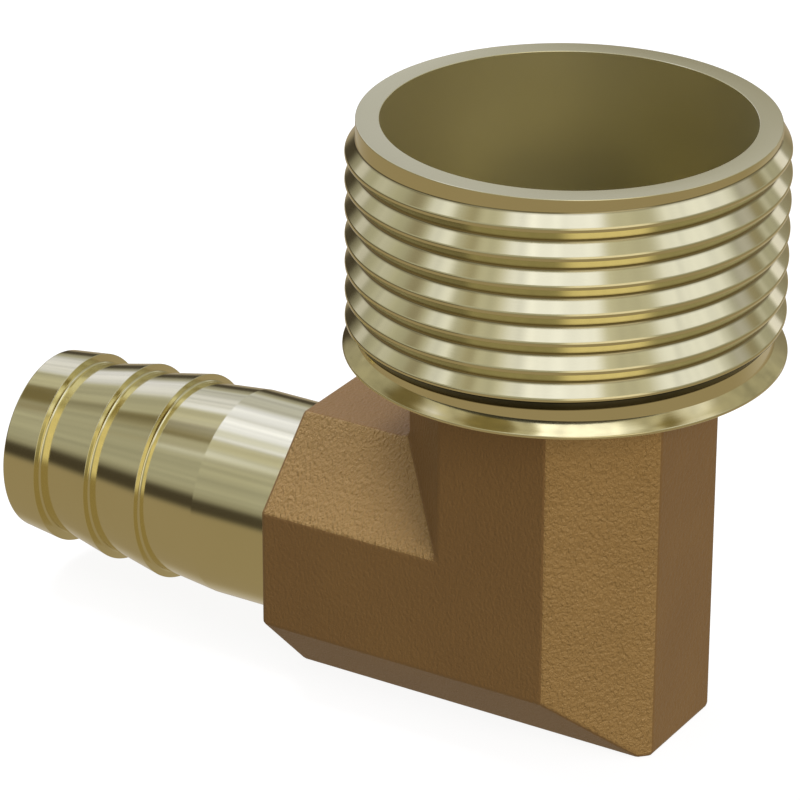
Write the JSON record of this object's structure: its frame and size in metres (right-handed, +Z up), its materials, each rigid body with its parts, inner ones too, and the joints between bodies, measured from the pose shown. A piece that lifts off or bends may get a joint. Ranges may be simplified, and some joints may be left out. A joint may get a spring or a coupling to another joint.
{
  "type": "hose barb elbow",
  "caption": "Brass elbow that joins a large male pipe thread to a barbed hose tail through a drilled octagonal body.",
  "frame": {"origin": "on the flat base of the body, under the axis of the thread", "axes": "+Z up along the axis of the thread, towards its rim; the hose tail points to -X; +X runs away from it"},
  "size_m": [0.0645, 0.0336, 0.0487],
  "materials": {
    "brass": "turned bright at the threaded end and the hose tail, blasted matte on the forged body"
  },
  "bodies": {
    "root": {"elbow": "brass"}
  },
  "joints": []
}
